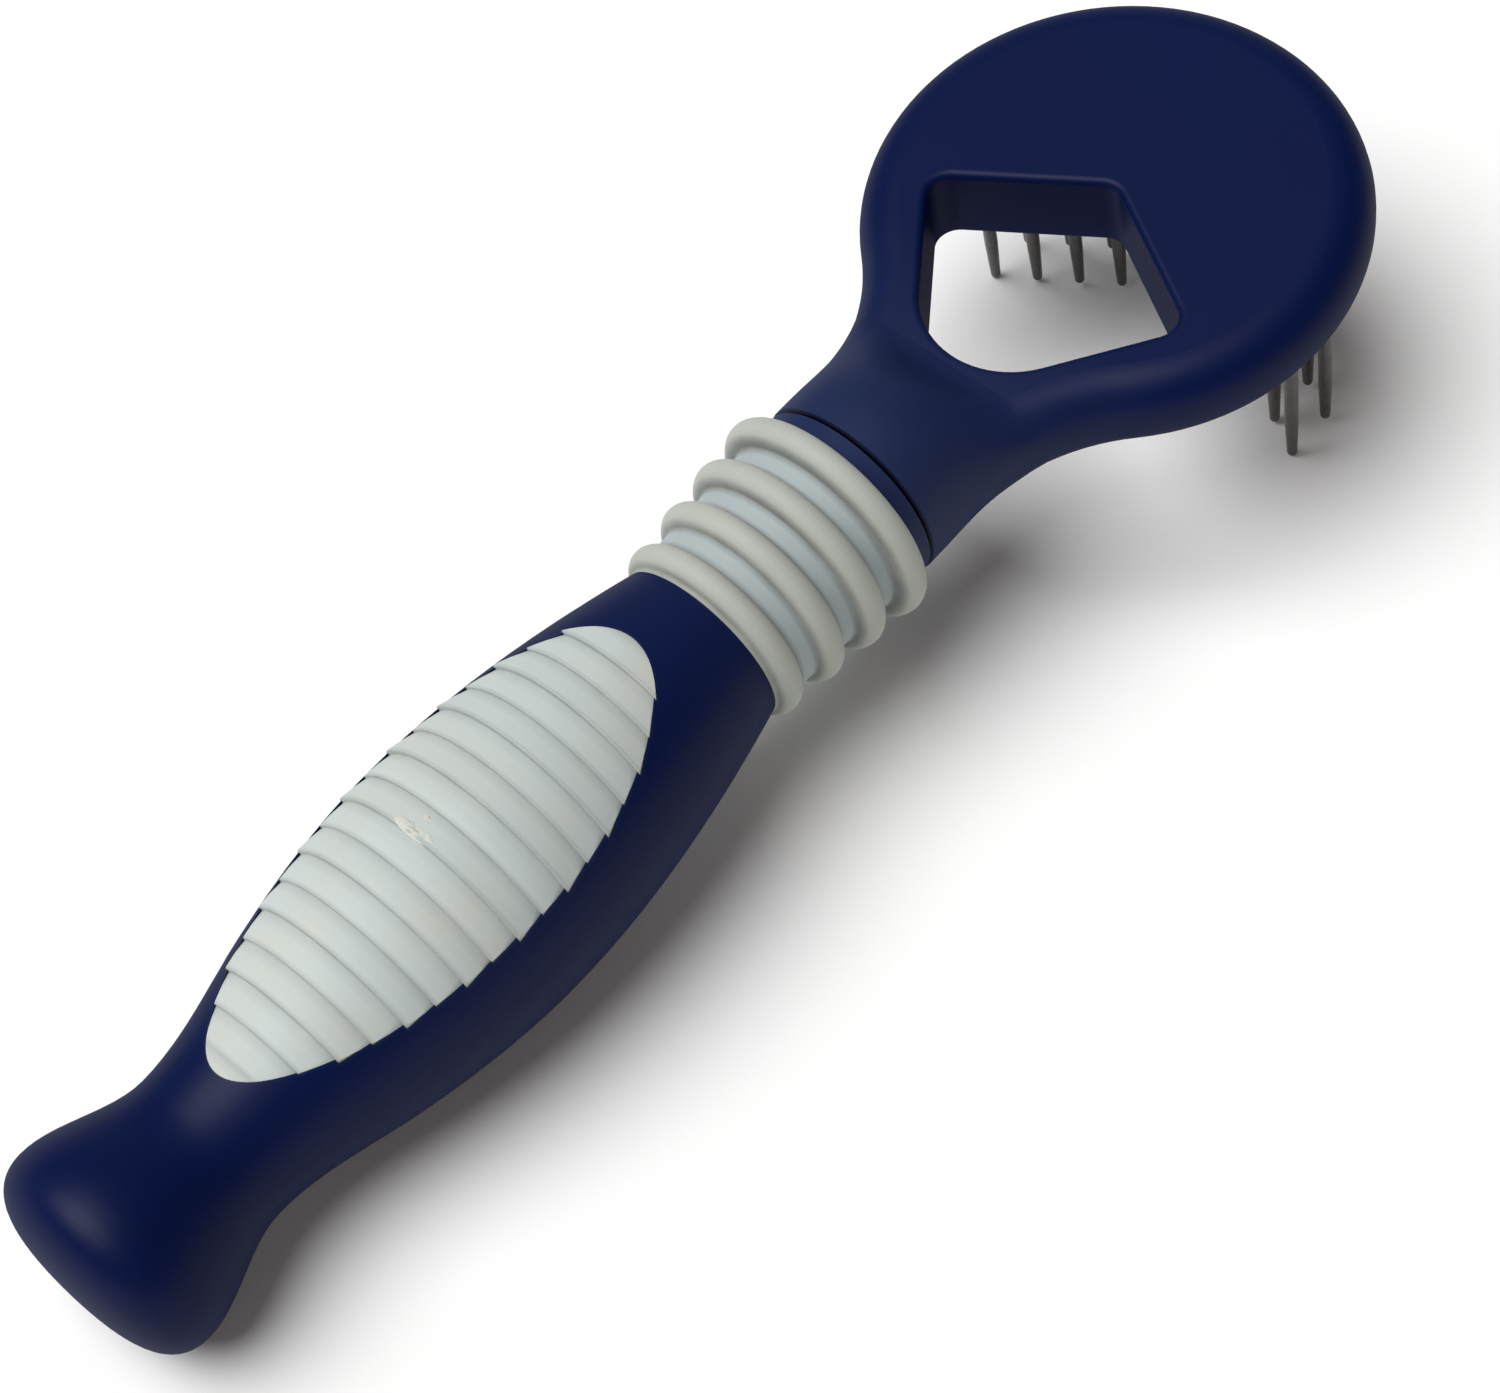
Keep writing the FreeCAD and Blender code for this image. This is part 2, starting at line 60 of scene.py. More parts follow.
Piece = bpy.types.Object
Material = bpy.types.Material
Socket = bpy.types.NodeSocket
Tone = tuple[float, float, float]  # linear red, green and blue
Point = tuple[float, float]        # two distances, or the place and height of a stop
Inputs = dict[str | int, object]   # a socket or a value for each input of a node

MM = 0.001
BODY = "root"
MERGE_DISTANCE = 1e-6
SMOOTH_ANGLE = math.radians(34)
ORIGIN = (0, 0, 0)
ALONG = Vector((1, 0, 0))
UP = Vector((0, 0, 1))
MIX_FACTOR, MIX_LOW, MIX_HIGH, MIX_RESULT = 0, 6, 7, 2  # the Mix node's sockets for colours


# ---------------------------------------------------------------- bench tools
def clear_selection() -> None:
    """Leaves every object unselected, in object mode."""
    if bpy.context.object is not None and bpy.context.object.mode != "OBJECT":
        bpy.ops.object.mode_set(mode="OBJECT")
    bpy.ops.object.select_all(action="DESELECT")


def pick(obj: Piece) -> None:
    """Makes obj the only selected and the active object.

    Args:
        obj: the object to work on.
    """
    clear_selection()
    obj.select_set(True)
    bpy.context.view_layer.objects.active = obj


class Bench:
    """One new mesh piece, shaped in edit mode with the modelling operators."""

    def __init__(self, name: str, outline: list[Vector]) -> None:
        """Starts the piece as an outline of straight stretches.

        Args:
            name: name of the object and its mesh.
            outline: its points in order, in mm, in the piece's own frame.
        """
        clear_selection()
        bpy.ops.mesh.primitive_plane_add(size=MM, location=ORIGIN)
        self.obj = bpy.context.object
        self.obj.name = name
        self.obj.data.name = name
        bpy.ops.object.mode_set(mode="EDIT")
        bpy.ops.mesh.select_all(action="SELECT")
        bpy.ops.mesh.merge(type="CENTER")
        bpy.ops.transform.translate(value=outline[0] * MM)
        for here, there in zip(outline, outline[1:]):
            step = (there - here) * MM
            bpy.ops.mesh.extrude_region_move(TRANSFORM_OT_translate={"value": step})

    def join(self) -> "Bench":
        """Merges the points that lie together, and leaves everything selected.

        Returns:
            The bench itself.
        """
        bpy.ops.mesh.select_all(action="SELECT")
        bpy.ops.mesh.remove_doubles(threshold=MERGE_DISTANCE)
        return self

    def fill(self) -> "Bench":
        """Joins the closed outline's ends and fills it with one face.

        Returns:
            The bench itself.
        """
        self.join()
        bpy.ops.mesh.edge_face_add()
        return self

    def extrude(self, step: Vector) -> "Bench":
        """Extrudes the selected face by a step in mm, and returns the bench itself."""
        bpy.ops.mesh.extrude_region_move(TRANSFORM_OT_translate={"value": step * MM})
        return self

    def spin(self, axis: Vector, steps: int, angle: float = 2 * math.pi) -> "Bench":
        """Turns the whole outline about an axis through the origin.

        Args:
            axis: direction of the axis.
            steps: number of copies of the outline.
            angle: how far it turns, in radians.

        Returns:
            The bench itself.
        """
        bpy.ops.mesh.select_all(action="SELECT")
        bpy.ops.mesh.spin(steps=steps, angle=angle, center=ORIGIN, axis=axis)
        return self

    def clean(self) -> "Bench":
        """Merges doubles and points every face outwards.

        Returns:
            The bench itself.
        """
        self.join()
        bpy.ops.mesh.normals_make_consistent(inside=False)
        return self

    def set_down(self, place: Matrix, smooth_angle: float = SMOOTH_ANGLE) -> Piece:
        """Leaves edit mode, moves the mesh into the row frame and shades it smooth.

        Args:
            place: the piece's own frame in the row frame.
            smooth_angle: edges sharper than this stay crisp.

        Returns:
            The finished object, at the world origin.
        """
        bpy.ops.object.mode_set(mode="OBJECT")
        pick(self.obj)
        self.obj.matrix_world = place
        bpy.ops.object.transform_apply(location=True, rotation=True, scale=True)
        bpy.ops.object.shade_smooth_by_angle(angle=smooth_angle)
        return self.obj


def keep_inside(obj: Piece, tool: Piece) -> None:
    """Keeps what lies inside another solid, and deletes that solid.

    Args:
        obj: the piece that is cut.
        tool: the solid that bounds it.
    """
    pick(obj)
    modifier = obj.modifiers.new("cut", "BOOLEAN")
    modifier.operation = "INTERSECT"
    modifier.solver = "EXACT"
    modifier.object = tool
    bpy.ops.object.modifier_apply(modifier=modifier.name)
    pick(tool)
    bpy.ops.object.delete()


def bearing(azimuth: float, elevation: float) -> Vector:
    """Direction from the comb out to a place round it.

    Args:
        azimuth: 0 looks along +Y and 90 along -X, in degrees.
        elevation: height above the horizon, in degrees.

    Returns:
        The direction, one metre long.
    """
    turn, rise = math.radians(azimuth), math.radians(elevation)
    return Vector((math.sin(turn) * math.cos(rise), -math.cos(turn) * math.cos(rise),
                   math.sin(rise)))


def arc(centre: Point, radius: float, start: float, end: float, count: int) -> list[Point]:
    """Points on an arc.

    Args:
        centre: middle of the arc.
        radius: its radius.
        start: first angle in degrees.
        end: last angle in degrees.
        count: number of pieces.

    Returns:
        count + 1 points, both ends among them.
    """
    turns = [math.radians(start + (end - start) * i / count) for i in range(count + 1)]
    return [(centre[0] + radius * math.cos(t), centre[1] + radius * math.sin(t)) for t in turns]


def in_profile(points: list[Point]) -> list[Vector]:
    """Profile points as places in the XZ plane."""
    return [Vector((x, 0, r)) for x, r in points]


# ---------------------------------------------------------------- places
@dataclass(frozen=True)
class Places:
    """Frames of the head and the handle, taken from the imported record.

    Attributes:
        rest_from_middle: distance from the disc's middle to the rest mount, in mm.
        joint_from_middle: distance from the disc's middle back to the joint, in mm.
        joint_drop: depth of the handle's axis below the head's top at the joint, in mm.
        handle_rise: angle by which the handle's axis falls towards the head, in degrees.
    """

    rest_from_middle: float = 14.0
    joint_from_middle: float = 47.65
    joint_drop: float = 4.7
    handle_rise: float = 1.75

    def head(self) -> Matrix:
        """Finds the head by the mount on its flat top.

        Returns:
            The head frame in the row frame.
        """
        mounts = frame["record"]["mounts"]
        rest = next(m for m in mounts if m["name"] == "rest_face")
        up = Vector(rest["axis"]).normalized()
        along = Vector((up.z, 0, -up.x))
        middle = Vector(rest["pos_m"]) - along * self.rest_from_middle * MM
        turn = Matrix((along, (0, 1, 0), up)).transposed().to_4x4()
        return Matrix.Translation(middle) @ turn

    def handle(self) -> Matrix:
        """Steps from the head down to the joint and tilts with the handle.

        Returns:
            The handle frame in the row frame.
        """
        joint = Vector((-self.joint_from_middle, 0, -self.joint_drop)) * MM
        tilt = Matrix.Rotation(math.radians(self.handle_rise), 4, "Y")
        return self.head() @ Matrix.Translation(joint) @ tilt


HEAD = Places().head()      # head frame in the row frame
HANDLE = Places().handle()  # handle frame in the row frame


# ---------------------------------------------------------------- finishes
class Graph:
    """Node graph of one material, built from its principled shader backwards."""

    def __init__(self, name: str) -> None:
        """Starts a material with a bare principled shader.

        Args:
            name: the material's name.
        """
        self.material = bpy.data.materials.new(name)
        self.material.use_nodes = True
        self.nodes = self.material.node_tree.nodes
        self.links = self.material.node_tree.links
        self.shader = self.nodes["Principled BSDF"]
        self.spot = self.add("ShaderNodeTexCoord", {}).outputs["Object"]

    def feed(self, node: bpy.types.Node, inputs: Inputs) -> bpy.types.Node:
        """Fills a node's inputs.

        Args:
            node: the node.
            inputs: a socket to link or a plain value to set, by the input's name or number.

        Returns:
            The node itself.
        """
        for key, value in inputs.items():
            if isinstance(value, Socket):
                self.links.new(value, node.inputs[key])
            else:
                node.inputs[key].default_value = value
        return node

    def add(self, kind: str, inputs: Inputs, **settings: object) -> bpy.types.Node:
        """Adds a node.

        Args:
            kind: the node's type.
            inputs: what its inputs take.
            **settings: its other properties.

        Returns:
            The new node.
        """
        node = self.nodes.new(kind)
        for key, value in settings.items():
            setattr(node, key, value)
        return self.feed(node, inputs)

    def shade(self, inputs: Inputs) -> Material:
        """Fills the shader's own inputs and gives the finished material."""
        self.feed(self.shader, inputs)
        return self.material

    def along(self, place: Matrix, start: float, length: float) -> Socket:
        """Distance along the X axis of a piece's own frame.

        Args:
            place: that frame in the row frame.
            start: where the distance is 0, in metres.
            length: what counts as 1, in metres.

        Returns:
            The distance in lengths from the start.
        """
        back = place.inverted()
        turned = self.add("ShaderNodeMapping", {
            "Vector": self.spot, "Location": back.to_translation(),
            "Rotation": back.to_euler("XYZ")})
        axes = self.add("ShaderNodeSeparateXYZ", {"Vector": turned.outputs["Vector"]})
        return self.maths("DIVIDE", self.maths("SUBTRACT", axes.outputs["X"], start), length)

    def noise(self, scale: float, detail: float = 2.0, roughness: float = 0.5,
              at: Socket | None = None) -> Socket:
        """Noise value at object coordinates.

        Args:
            scale: patches per metre.
            detail: number of finer layers.
            roughness: strength of the finer layers.
            at: other coordinates to read.

        Returns:
            The factor socket.
        """
        node = self.add("ShaderNodeTexNoise", {
            "Vector": at or self.spot, "Scale": scale, "Detail": detail, "Roughness": roughness})
        return node.outputs["Fac"]

    def ramp(self, source: Socket, stops: list[Point]) -> Socket:
        """Maps a value through grey stops.

        Args:
            source: the value.
            stops: (position, grey level) pairs.

        Returns:
            The mapped value.
        """
        node = self.add("ShaderNodeValToRGB", {"Fac": source})
        elements = node.color_ramp.elements
        elements[0].position, elements[1].position = stops[0][0], stops[-1][0]
        for position, _ in stops[1:-1]:
            elements.new(position)
        for element, (_, level) in zip(elements, stops):
            element.color = (level, level, level, 1)
        return node.outputs["Color"]

    def blend(self, factor: Socket, low: Tone | Socket, high: Tone | Socket) -> Socket:
        """Mixes two colours.

        Args:
            factor: share of the second one.
            low: colour where the factor is 0.
            high: colour where it is 1.

        Returns:
            The mixed colour.
        """
        low, high = (side if isinstance(side, Socket) else (*side, 1) for side in (low, high))
        node = self.add("ShaderNodeMix", {MIX_FACTOR: factor, MIX_LOW: low, MIX_HIGH: high},
                        data_type="RGBA")
        return node.outputs[MIX_RESULT]

    def maths(self, operation: str, first: float | Socket, second: float | Socket = 0.0,
              clamp: bool = False) -> Socket:
        """One arithmetic step.

        Args:
            operation: the Math node's name for it.
            first: its first side.
            second: its second side, where it has one.
            clamp: keeps the result between 0 and 1.

        Returns:
            The result.
        """
        node = self.add("ShaderNodeMath", {0: first, 1: second}, operation=operation,
                        use_clamp=clamp)
        return node.outputs[0]

    def span(self, source: Socket, low: float, high: float) -> Socket:
        """Stretches a 0 to 1 value to run from low to high."""
        return self.maths("ADD", self.maths("MULTIPLY", source, high - low), low)

    def bump(self, height: Socket, distance: float, strength: float = 1.0,
             under: Socket | None = None) -> Socket:
        """Bump from a height.

        Args:
            height: height from 0 to 1.
            distance: depth of the relief in metres.
            strength: share of it that shows.
            under: a coarser bump that it lies on.

        Returns:
            The normal.
        """
        node = self.add("ShaderNodeBump", {"Height": height, "Distance": distance,
                                           "Strength": strength})
        if under is not None:
            self.feed(node, {"Normal": under})
        return node.outputs["Normal"]

    def edges(self, radius: float) -> Socket:
        """How near a convex or concave edge is, from 0 far off to 1 on it.

        Args:
            radius: reach of the edge in metres.

        Returns:
            The nearness.
        """
        bevel = self.add("ShaderNodeBevel", {"Radius": radius}, samples=4)
        surface = self.add("ShaderNodeNewGeometry", {})
        dot = self.add("ShaderNodeVectorMath", {0: bevel.outputs[0], 1: surface.outputs["Normal"]},
                       operation="DOT_PRODUCT")
        return self.maths("SUBTRACT", 1.0, dot.outputs["Value"], clamp=True)


@dataclass(frozen=True)
class SatinPlastic:
    """Moulded plastic with a fine spark-eroded grain.

    Attributes:
        name: material name.
        deep, clear: darker and lighter tone of the colour.
        worn_and_highlight: tone of the pale flecks and of the lighter edges, which are partly wear
            and partly painted highlight.
        neck_light: lighter tone of the painted light on the neck and collar round the joint.
        groove_shade: tone of the painted shade in the groove at the joint.
        gloss: roughness of the smoothest and of the dullest patches.
        edge_reach: width of the lighter edges in metres.
        neck_light_start, neck_light_length: start and length of the painted light's run, in metres
            in the head frame.
        clouds, flecks, edge_patches, neck_light_patches, gloss_patches, sinks, grain: how many in a
        metre.
        sink_depth, grain_depth: depth of the shrink marks and of the grain in metres.
    """

    name: str
    deep: Tone
    clear: Tone
    worn_and_highlight: Tone
    neck_light: Tone
    groove_shade: Tone
    gloss: tuple[float, float] = (0.37, 0.45)
    edge_reach: float = 0.0005
    neck_light_start: float = -0.1
    neck_light_length: float = 0.1
    clouds: float = 38.0
    flecks: float = 1900.0
    edge_patches: float = 420.0
    neck_light_patches: float = 60.0
    gloss_patches: float = 160.0
    sinks: float = 85.0
    grain: float = 5200.0
    sink_depth: float = 0.00004
    grain_depth: float = 0.000012

    def with_wear_and_painted_light(self, graph: Graph, tone: Socket) -> Socket:
        """Adds pale flecks, edges lighter from wear and painted highlight, painted light round the
        joint and painted shade in its groove.

        Args:
            graph: the material's graph.
            tone: the clean colour.

        Returns:
            The colour with the wear and the painted highlight, light and shade.
        """
        flecks = graph.ramp(graph.noise(self.flecks, 2, 0.6),
                            [(0.30, 0.0), (0.74, 0.0), (0.80, 0.22)])
        tone = graph.blend(flecks, tone, self.worn_and_highlight)
        # Lighter edges: partly wear, partly painted highlight on the rims.
        worn_and_lit_edges = graph.maths("MULTIPLY", graph.edges(self.edge_reach),
                             graph.noise(self.edge_patches, 3), clamp=True)
        tone = graph.blend(graph.ramp(worn_and_lit_edges, [(0.0, 0.0), (0.12, 0.35)]), tone, self.worn_and_highlight)
        # Painted light: a lighter band on the neck and collar round the joint.
        neck_light = graph.ramp(graph.along(HEAD, self.neck_light_start, self.neck_light_length),
                          [(0.10, 0.0), (0.30, 0.25), (0.45, 0.8), (0.53, 1.0), (0.66, 0.55),
                           (0.82, 0.0)])
        patchy = graph.span(graph.noise(self.neck_light_patches, 4, 0.6), 0.7, 1.0)
        tone = graph.blend(graph.maths("MULTIPLY", neck_light, patchy), tone, self.neck_light)
        # Painted shade: a dark band in the groove at the joint.
        off_joint = graph.maths("ABSOLUTE", graph.along(HANDLE, 0.0, MM))
        groove_shade_mask = graph.ramp(off_joint, [(0.0, 1.0), (0.18, 0.8), (0.34, 0.0)])
        return graph.blend(groove_shade_mask, tone, self.groove_shade)

    def build(self) -> Material:
        """Builds the material.

        Returns:
            The finished material.
        """
        graph = Graph(self.name)
        tone = graph.blend(graph.noise(self.clouds, 3), self.deep, self.clear)
        sink = graph.bump(graph.noise(self.sinks, 2), self.sink_depth, 0.5)
        relief = graph.bump(graph.noise(self.grain, 2, 0.7), self.grain_depth, 0.8, sink)
        return graph.shade({
            "Base Color": self.with_wear_and_painted_light(graph, tone), "Specular IOR Level": 0.0,
            "Roughness": graph.span(graph.noise(self.gloss_patches, 4, 0.6), *self.gloss),
            "Normal": relief, "Coat Normal": relief,
            "Coat Weight": 0.27, "Coat Roughness": 0.44, "Coat IOR": 1.5})


@dataclass(frozen=True)
class SoftRubber:
    """Soft-touch overmoulded rubber, a little mottled, with dust in its dips.

    Attributes:
        name: material name.
        pale, cool: main tone and tone of the mottling.
        dusty: tone of the dips.
        relief_shade: tone of the painted shade at the foot of each relief.
        gloss: roughness of the smoothest and of the dullest patches.
        dust_reach: width of the dusty dips in metres.
        mottles, dust_patches, gloss_patches, waves, grain: how many in a metre.
        wave_depth, grain_depth: depth of the waves and of the grain in metres.
    """

    name: str
    pale: Tone
    cool: Tone
    dusty: Tone
    relief_shade: Tone
    gloss: tuple[float, float] = (0.52, 0.68)
    dust_reach: float = 0.0004
    mottles: float = 70.0
    dust_patches: float = 900.0
    gloss_patches: float = 230.0
    waves: float = 160.0
    grain: float = 4200.0
    wave_depth: float = 0.00006
    grain_depth: float = 0.00002

    def with_tints_and_painted_shade(self, graph: Graph, tone: Socket) -> Socket:
        """Adds the tints and the painted shade of the piece's own relief, which are none on plain
        rubber.
        """
        return tone

    def build(self) -> Material:
        """Builds the material.

        Returns:
            The finished material.
        """
        graph = Graph(self.name)
        mottle = graph.ramp(graph.noise(self.mottles, 4, 0.6), [(0.35, 0.0), (0.70, 1.0)])
        tone = graph.blend(mottle, self.pale, self.cool)
        dust = graph.maths("MULTIPLY", graph.edges(self.dust_reach),
                           graph.noise(self.dust_patches, 2), clamp=True)
        tone = graph.blend(graph.ramp(dust, [(0.0, 0.0), (0.2, 0.6)]), tone, self.dusty)
        wave = graph.bump(graph.noise(self.waves, 3), self.wave_depth, 0.5)
        return graph.shade({
            "Base Color": self.with_tints_and_painted_shade(graph, tone), "IOR": 1.45, "Specular IOR Level": 0.35,
            "Roughness": graph.span(graph.noise(self.gloss_patches, 3), *self.gloss),
            "Normal": graph.bump(graph.noise(self.grain, 2, 0.7), self.grain_depth, 0.7, wave),
            "Sheen Weight": 0.12, "Sheen Roughness": 0.5})


@dataclass(frozen=True, kw_only=True)
class RingRubber(SoftRubber):
    """Rubber of the sleeve: cooler and darker between the rings, partly its own tone and partly
    painted shade, with painted shade at their roots.

    Attributes:
        first_x: middle of the ring next to the head, in metres in the handle frame.
        pitch: distance between rings in metres.
        rings: number of rings.
        valley: tone between the rings, cooler and darker, partly the rubber's own tone and partly
            painted shade.
        shade_patches: how many patches of the painted root shade in a metre.
    """

    first_x: float
    pitch: float
    rings: int
    valley: Tone = (0.375, 0.43, 0.44)
    shade_patches: float = 300.0

    def with_tints_and_painted_shade(self, graph: Graph, tone: Socket) -> Socket:
        """Adds the cooler valleys, partly painted shade, and the painted shade at the roots.

        Args:
            graph: the material's graph.
            tone: the clean colour.

        Returns:
            The colour with the valleys and the painted shade.
        """
        turns = graph.along(HANDLE, self.first_x, self.pitch)
        away = graph.maths("MULTIPLY", graph.maths("PINGPONG", turns, 0.5), 2.0)
        within = graph.maths("GREATER_THAN", turns, 1 - self.rings)
        # Cooler, darker valleys: partly the rubber's own tone, partly painted shade.
        dips = graph.maths("MULTIPLY", graph.ramp(away, [(0.52, 0.0), (0.62, 1.0)]), within)
        tone = graph.blend(dips, tone, self.valley)
        # Painted shade: dark lines at the roots of the rings.
        roots = graph.ramp(away, [(0.44, 0.0), (0.565, 0.9), (0.62, 0.8), (0.80, 0.0)])
        patchy = graph.span(graph.noise(self.shade_patches, 3), 0.3, 0.9)
        return graph.blend(graph.maths("MULTIPLY", roots, patchy), tone, self.relief_shade)


@dataclass(frozen=True, kw_only=True)
class ShingleRubber(SoftRubber):
    """Rubber of the pad: warmer in patches, with painted shade at the foot of each shingle's edge.

    Attributes:
        first_x: edge next to the butt, in metres in the handle frame.
        pitch: distance between edges in metres.
        warm: tone of the handled patches.
        warm_patches, shade_patches: how many in a metre.
    """

    first_x: float
    pitch: float
    warm: Tone = (0.55, 0.56, 0.51)
    warm_patches: float = 95.0
    shade_patches: float = 260.0

    def with_tints_and_painted_shade(self, graph: Graph, tone: Socket) -> Socket:
        """Adds the warm patches and a painted shade line under each edge.

        Args:
            graph: the material's graph.
            tone: the clean colour.

        Returns:
            The colour with the patches and the painted shade.
        """
        patches = graph.ramp(graph.noise(self.warm_patches, 3, 0.6), [(0.45, 0.0), (0.70, 0.7)])
        tone = graph.blend(patches, tone, self.warm)
        share = graph.maths("FRACT", graph.along(HANDLE, self.first_x, self.pitch))
        # Painted shade: a dark line at the foot of each shingle edge.
        foot = graph.ramp(share, [(0.0, 0.60), (0.05, 0.42), (0.16, 0.0), (0.62, 0.0),
                                  (0.88, 0.32), (1.0, 0.60)])
        patchy = graph.span(graph.noise(self.shade_patches, 3), 0.35, 1.0)
        return graph.blend(graph.maths("MULTIPLY", foot, patchy), tone, self.relief_shade)


@dataclass(frozen=True)
class DrawnSteel:
    """Drawn stainless wire with lines along its length.

    Attributes:
        name: material name.
        bright, dull: tone of the polished lines and between them.
        gloss: roughness of the smoothest and of the dullest lines.
        lines, stains: how many in a metre, the lines counted across the wire.
        lengthwise: scale of the lines' pattern along the wire.
        line_depth: depth of the lines in metres.
    """

    name: str
    bright: Tone
    dull: Tone
    gloss: tuple[float, float] = (0.24, 0.42)
    lines: float = 9000.0
    stains: float = 700.0
    lengthwise: float = 0.02
    line_depth: float = 0.00001

    def build(self) -> Material:
        """Builds the material.

        Returns:
            The finished material.
        """
        graph = Graph(self.name)
        drawn = graph.add("ShaderNodeMapping", {
            "Vector": graph.spot, "Scale": (1, 1, self.lengthwise)})
        lines = graph.noise(self.lines, 3, 0.6, drawn.outputs["Vector"])
        tone = graph.blend(lines, self.dull, self.bright)
        stains = graph.ramp(graph.noise(self.stains, 3, 0.6), [(0.45, 0.0), (0.75, 0.5)])
        return graph.shade({
            "Base Color": graph.blend(stains, tone, self.dull), "Metallic": 1.0,
            "Anisotropic": 0.3, "Roughness": graph.span(lines, *self.gloss),
            "Normal": graph.bump(lines, self.line_depth, 0.6)})


@dataclass(frozen=True)
class PaleFloor:
    """Matt white sweep.

    Attributes:
        name: material name.
        white, shade: main tone and tone of its faint mottling.
        mottles, grain: how many in a metre.
        grain_depth: depth of the grain in metres.
    """

    name: str
    white: Tone
    shade: Tone
    mottles: float = 6.0
    grain: float = 1500.0
    grain_depth: float = 0.00002

    def build(self) -> Material:
        """Builds the material.

        Returns:
            The finished material.
        """
        graph = Graph(self.name)
        return graph.shade({
            "Base Color": graph.blend(graph.noise(self.mottles, 3), self.white, self.shade),
            "Normal": graph.bump(graph.noise(self.grain, 2), self.grain_depth, 0.3),
            "Roughness": 0.85, "Specular IOR Level": 0.2,
            "Emission Color": (1.0, 0.88, 0.78, 1), "Emission Strength": 0.035})


class Slot(Enum):
    """Material slots of the record."""

    NAVY = "navy_plastic"
    RINGS = "ring_rubber"
    PAD = "pad_rubber"
    STEEL = "pin_steel"


@cache
def material_of(finish: SatinPlastic | SoftRubber | DrawnSteel) -> Material:
    """Gives the material of a finish, built on its first use."""
    return finish.build()


def dress(obj: Piece, slot: Slot, finish: SoftRubber | None = None) -> None:
    """Gives a new piece the material of its slot, and its body.

    Args:
        obj: the piece.
        slot: the slot it belongs to.
        finish: one of its own in place of the slot's.
    """
    obj.data.materials.clear()
    obj.data.materials.append(material_of(finish or FINISHES[slot]))
    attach(obj, BODY)
    log.info("%s: %d faces, %s", obj.name, len(obj.data.polygons), slot.value)


def dress_node(node: str, slot: Slot) -> None:
    """Gives a solid of the frame its material.

    Args:
        node: name of the solid.
        slot: the slot it belongs to.
    """
    for holder in frame["nodes"][node].material_slots:
        holder.material = material_of(FINISHES[slot])
    log.info("%s: kept solid, %s", node, slot.value)


# ---------------------------------------------------------------- handle
@dataclass
class TurnedGrip:
    """Moulded handle: its solid with the faces joined, so that the gloss runs on over them.

    Attributes:
        node: solid that it follows.
        smooth_angle: edges sharper than this stay crisp.
    """

    node: str = "handle_core"
    smooth_angle: float = math.radians(28)

    def build(self) -> Piece:
        """Joins the faces of a copy and puts it in place of its solid.

        Returns:
            The finished grip.
        """
        grip = bpy.data.objects.new("turned_grip", frame["nodes"][self.node].data.copy())
        bpy.context.scene.collection.objects.link(grip)
        pick(grip)
        bpy.ops.object.mode_set(mode="EDIT")
        bpy.ops.mesh.select_all(action="SELECT")
        bpy.ops.mesh.remove_doubles(threshold=MERGE_DISTANCE)
        bpy.ops.object.mode_set(mode="OBJECT")
        bpy.ops.mesh.customdata_custom_splitnormals_clear()
        bpy.ops.object.shade_smooth_by_angle(angle=self.smooth_angle, keep_sharp_edges=False)
        dress(grip, Slot.NAVY)
        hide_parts(self.node)
        return grip


@dataclass(frozen=True)
class GripShape:
    """Turned outline of the grip, in mm in the handle frame.

    Attributes:
        stations: (x, radius, slope) from the butt to the shoulder.
        belly_x: place of the widest station.
    """

    stations: tuple[tuple[float, float, float], ...] = (
        (-114.76, 13.4, 0.0),
        (-101.16, 9.8, 0.0),
        (-83.36, 13.3, 0.215),
        (-61.36, 15.9, 0.0),
        (-25.21, 10.8, -0.25),
    )
    belly_x: float = -61.36

    def radius(self, x: float) -> float:
        """Radius of the grip at x.

        Args:
            x: place along the axis, in mm.

        Returns:
            The radius there, in mm.
        """
        spans = list(zip(self.stations, self.stations[1:]))
        (x0, r0, s0), (x1, r1, s1) = next((s for s in spans if x <= s[1][0]), spans[-1])
        length = x1 - x0
        t = (x - x0) / length
        poles = (r0, r0 + s0 * length / 3, r1 - s1 * length / 3, r1)
        weights = ((1 - t) ** 3, 3 * t * (1 - t) ** 2, 3 * t * t * (1 - t), t ** 3)
        return sum(pole * weight for pole, weight in zip(poles, weights))


